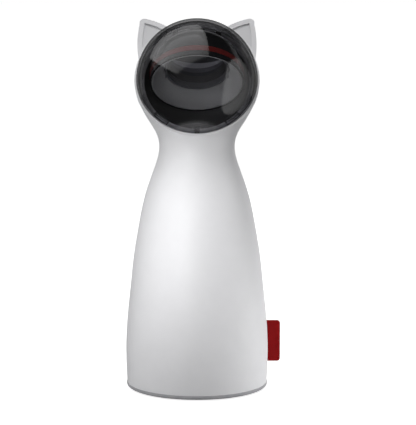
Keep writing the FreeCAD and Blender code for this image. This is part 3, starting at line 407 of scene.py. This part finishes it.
def make_floor():
    """Pale floor that keeps the toy's shadow under it."""
    mesh = bpy.data.meshes.new("floor")
    shape = bmesh.new()
    bmesh.ops.create_grid(shape, x_segments=1, y_segments=1, size=FLOOR_HALF)
    shape.to_mesh(mesh)
    shape.free()
    floor = bpy.data.objects.new("floor", mesh)
    bpy.context.collection.objects.link(floor)
    material, tree, shader = new_finish("pale_floor", FLOOR_TONE, FLOOR_ROUGHNESS)
    place = add_node(tree, "ShaderNodeTexCoord").outputs["Object"]
    behind = straight_behind(tree, vector_maths(tree, "NORMALIZE", place)["Vector"])
    shader.inputs["Emission Color"].default_value = WHITE
    tree.links.new(backdrop_light(tree, behind, 0.0, FLOOR_GLOW), shader.inputs["Emission Strength"])
    in_gloss = add_node(tree, "ShaderNodeLightPath").outputs["Is Glossy Ray"]
    dimmed = maths(tree, "MULTIPLY", in_gloss, maths(tree, "SUBTRACT", 1.0, behind))
    tone = blend(tree, dimmed, colour(FLOOR_TONE), colour(DIM_FLOOR_TONE))
    tree.links.new(tone, shader.inputs["Base Color"])
    mesh.materials.append(material)


def softbox(name, centre, target, width, height, radiance, upright=UP, shape="RECTANGLE",
            spread=180.0, card=False, fade=None):
    """Lamp at a centre that faces a target, both from the head's centre, with its height along the
    upright direction, as bright as a surface of that radiance. A card only shows in gloss; the other
    lamps only light matte surfaces. Fade gives its brightness at its foot and top."""
    lamp = bpy.data.lights.new(name, "AREA")
    lamp.shape = shape
    lamp.size = width
    lamp.size_y = height
    lamp.energy = radiance * math.pi * width * height
    lamp.spread = math.radians(spread)
    if fade:
        lamp.use_nodes = True
        tree = lamp.node_tree
        place = add_node(tree, "ShaderNodeNewGeometry").outputs["Parametric"]
        split = add_node(tree, "ShaderNodeSeparateXYZ", {"Vector": place})
        tree.links.new(remap(tree, split.outputs["Y"], *fade), tree.nodes["Emission"].inputs["Strength"])
    holder = bpy.data.objects.new(name, lamp)
    bpy.context.collection.objects.link(holder)
    back = (Vector(centre) - Vector(target)).normalized()
    side = Vector(upright).cross(back).normalized()
    turn = Matrix((side, back.cross(side), back)).transposed()
    holder.matrix_world = Matrix.Translation(HEAD + Vector(centre)) @ turn.to_4x4()
    holder.visible_camera = False
    holder.visible_glossy = card
    holder.visible_diffuse = not card


def make_camera():
    """Camera in front of the toy, a little above it."""
    data = bpy.data.cameras.new("camera")
    data.sensor_width = SENSOR
    data.lens = FOCAL_PIXELS * SENSOR / IMAGE_LONG_SIDE
    data.shift_x = AXIS_LEFT_OF_CENTRE / IMAGE_LONG_SIDE
    camera = bpy.data.objects.new("camera", data)
    bpy.context.collection.objects.link(camera)
    rise = math.radians(CAMERA_ELEVATION)
    back = Vector((0.0, -math.cos(rise), math.sin(rise)))
    camera.rotation_mode = "QUATERNION"
    camera.rotation_quaternion = (-back).to_track_quat("-Z", "Y")
    camera.location = AIM + back * CAMERA_DISTANCE
    bpy.context.scene.camera = camera


def make_studio():
    """Surroundings, lamps for the matte surfaces, cards for the gloss, and the camera."""
    make_world()
    make_floor()
    softbox("key", (-0.08, -0.175, -0.047), (0.0, 0.0, -0.095), 0.05, 0.1, radiance=2.4, spread=70)
    softbox("top", (-0.03, -0.32, 0.8), MIDDLE, 0.4, 0.4, radiance=5.6)
    softbox("back", (0.25, 0.9, 0.2), (0.0, 0.0, -0.05), 0.5, 0.5, radiance=4.0)
    low_middle = (0.0, 0.035, -0.167)       # target of the lamps beside the foot
    softbox("fill_right", (0.3, 0.035, -0.167), low_middle, 0.16, 0.03, radiance=5.0, spread=58)
    softbox("fill_left", (-0.3, 0.035, -0.167), low_middle, 0.16, 0.03, radiance=1.6, spread=58)
    softbox("card_left", (-0.329, -0.062, 0.623), (-0.03, 0.094, 0.01), 1.23, 1.47, radiance=1.0,
            upright=(-0.25, 0.96, 0.12), card=True, fade=(0.3, 1.8))
    softbox("card_right", (0.14, -0.038, -0.046), (0.0, -0.038, -0.046), 0.176, 0.254, radiance=0.5,
            shape="ELLIPSE", card=True)
    softbox("card_behind_left", (-0.39, 0.45, 0.06), MIDDLE, 0.26, 0.45, radiance=0.6, card=True)
    softbox("card_behind_right", (0.39, 0.45, 0.06), MIDDLE, 0.26, 0.45, radiance=0.6, card=True)
    make_camera()
    bpy.context.scene.view_settings.view_transform = "Standard"


dress_nodes()
make_studio()
